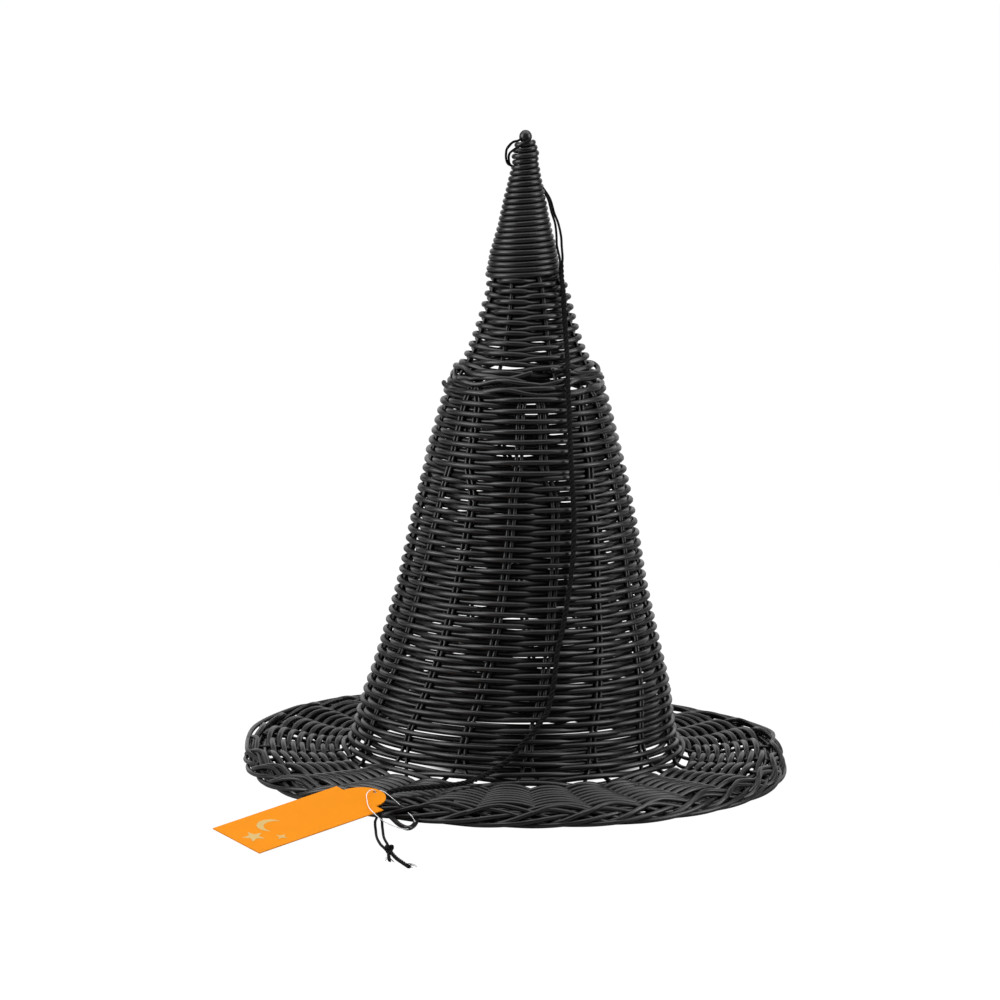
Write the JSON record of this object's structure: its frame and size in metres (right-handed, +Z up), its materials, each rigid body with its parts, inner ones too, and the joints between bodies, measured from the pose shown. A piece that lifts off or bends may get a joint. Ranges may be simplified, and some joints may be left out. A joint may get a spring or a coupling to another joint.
{
  "type": "witch hat",
  "caption": "Pointed witch hat woven from plastic wicker strand, with a wound tip, flared woven brim, plaited border, hanging cord and swing tag.",
  "frame": {"origin": "centre of the round base, on the surface that the border stands on", "axes": "+Z up through the tip; -Y to the front, where the cord comes down over the brim; +X to the viewer's right when seen from the front"},
  "size_m": [0.3178, 0.4074, 0.3688],
  "materials": {
    "weaving_strand": "satin black wicker strand",
    "stake_rod": "satin black wicker rod",
    "tip_knob": "satin black bead",
    "core_dowel": "plain turned wood",
    "cord": "matt twisted cotton cord",
    "tag_card": "coated orange card",
    "tag_nylon": "clear nylon thread"
  },
  "bodies": {
    "hat": {"border_ring": "weaving_strand", "border_strand": "weaving_strand", "brim_weaver_1": "weaving_strand", "brim_weaver_2": "weaving_strand", "brim_weaver_3": "weaving_strand", "cord_knot": "cord", "cord_tail": "cord", "cord_tuft": "cord", "crown_stake_01": "stake_rod", "crown_stake_02": "stake_rod", "crown_stake_03": "stake_rod", "crown_stake_04": "stake_rod", "crown_stake_05": "stake_rod", "crown_stake_06": "stake_rod", "crown_stake_07": "stake_rod", "crown_stake_08": "stake_rod", "crown_stake_09": "stake_rod", "crown_stake_10": "stake_rod", "crown_stake_11": "stake_rod", "crown_stake_12": "stake_rod", "crown_stake_13": "stake_rod", "crown_stake_14": "stake_rod", "crown_stake_15": "stake_rod", "crown_weaver_1": "weaving_strand", "crown_weaver_2": "weaving_strand", "crown_weaver_3": "weaving_strand", "crown_weaver_4": "weaving_strand", "crown_weaver_5": "weaving_strand", "crown_weaver_6": "weaving_strand", "crown_weaver_7": "weaving_strand", "crown_weaver_8": "weaving_strand", "crown_weaver_9": "weaving_strand", "hanging_cord": "cord", "tag_thread": "tag_nylon", "tip_ball": "tip_knob", "tip_core": "core_dowel", "tip_wrap": "weaving_strand", "upper_stake_1": "stake_rod", "upper_stake_2": "stake_rod", "upper_stake_3": "stake_rod", "upper_stake_4": "stake_rod", "upper_stake_5": "stake_rod", "upper_stake_6": "stake_rod", "upper_stake_7": "stake_rod", "upper_weaver_1": "weaving_strand", "upper_weaver_2": "weaving_strand"},
    "tag": {"swing_tag": "tag_card"}
  },
  "joints": [
    {"name": "tag_swing", "type": "hinge", "parent": "hat", "child": "tag", "pos_m": [-0.076, -0.1449, 0.0164], "axis": [-0.9254, 0.3789, 0], "range_deg": [0, 95], "deforming": ["tag_thread"]}
  ]
}
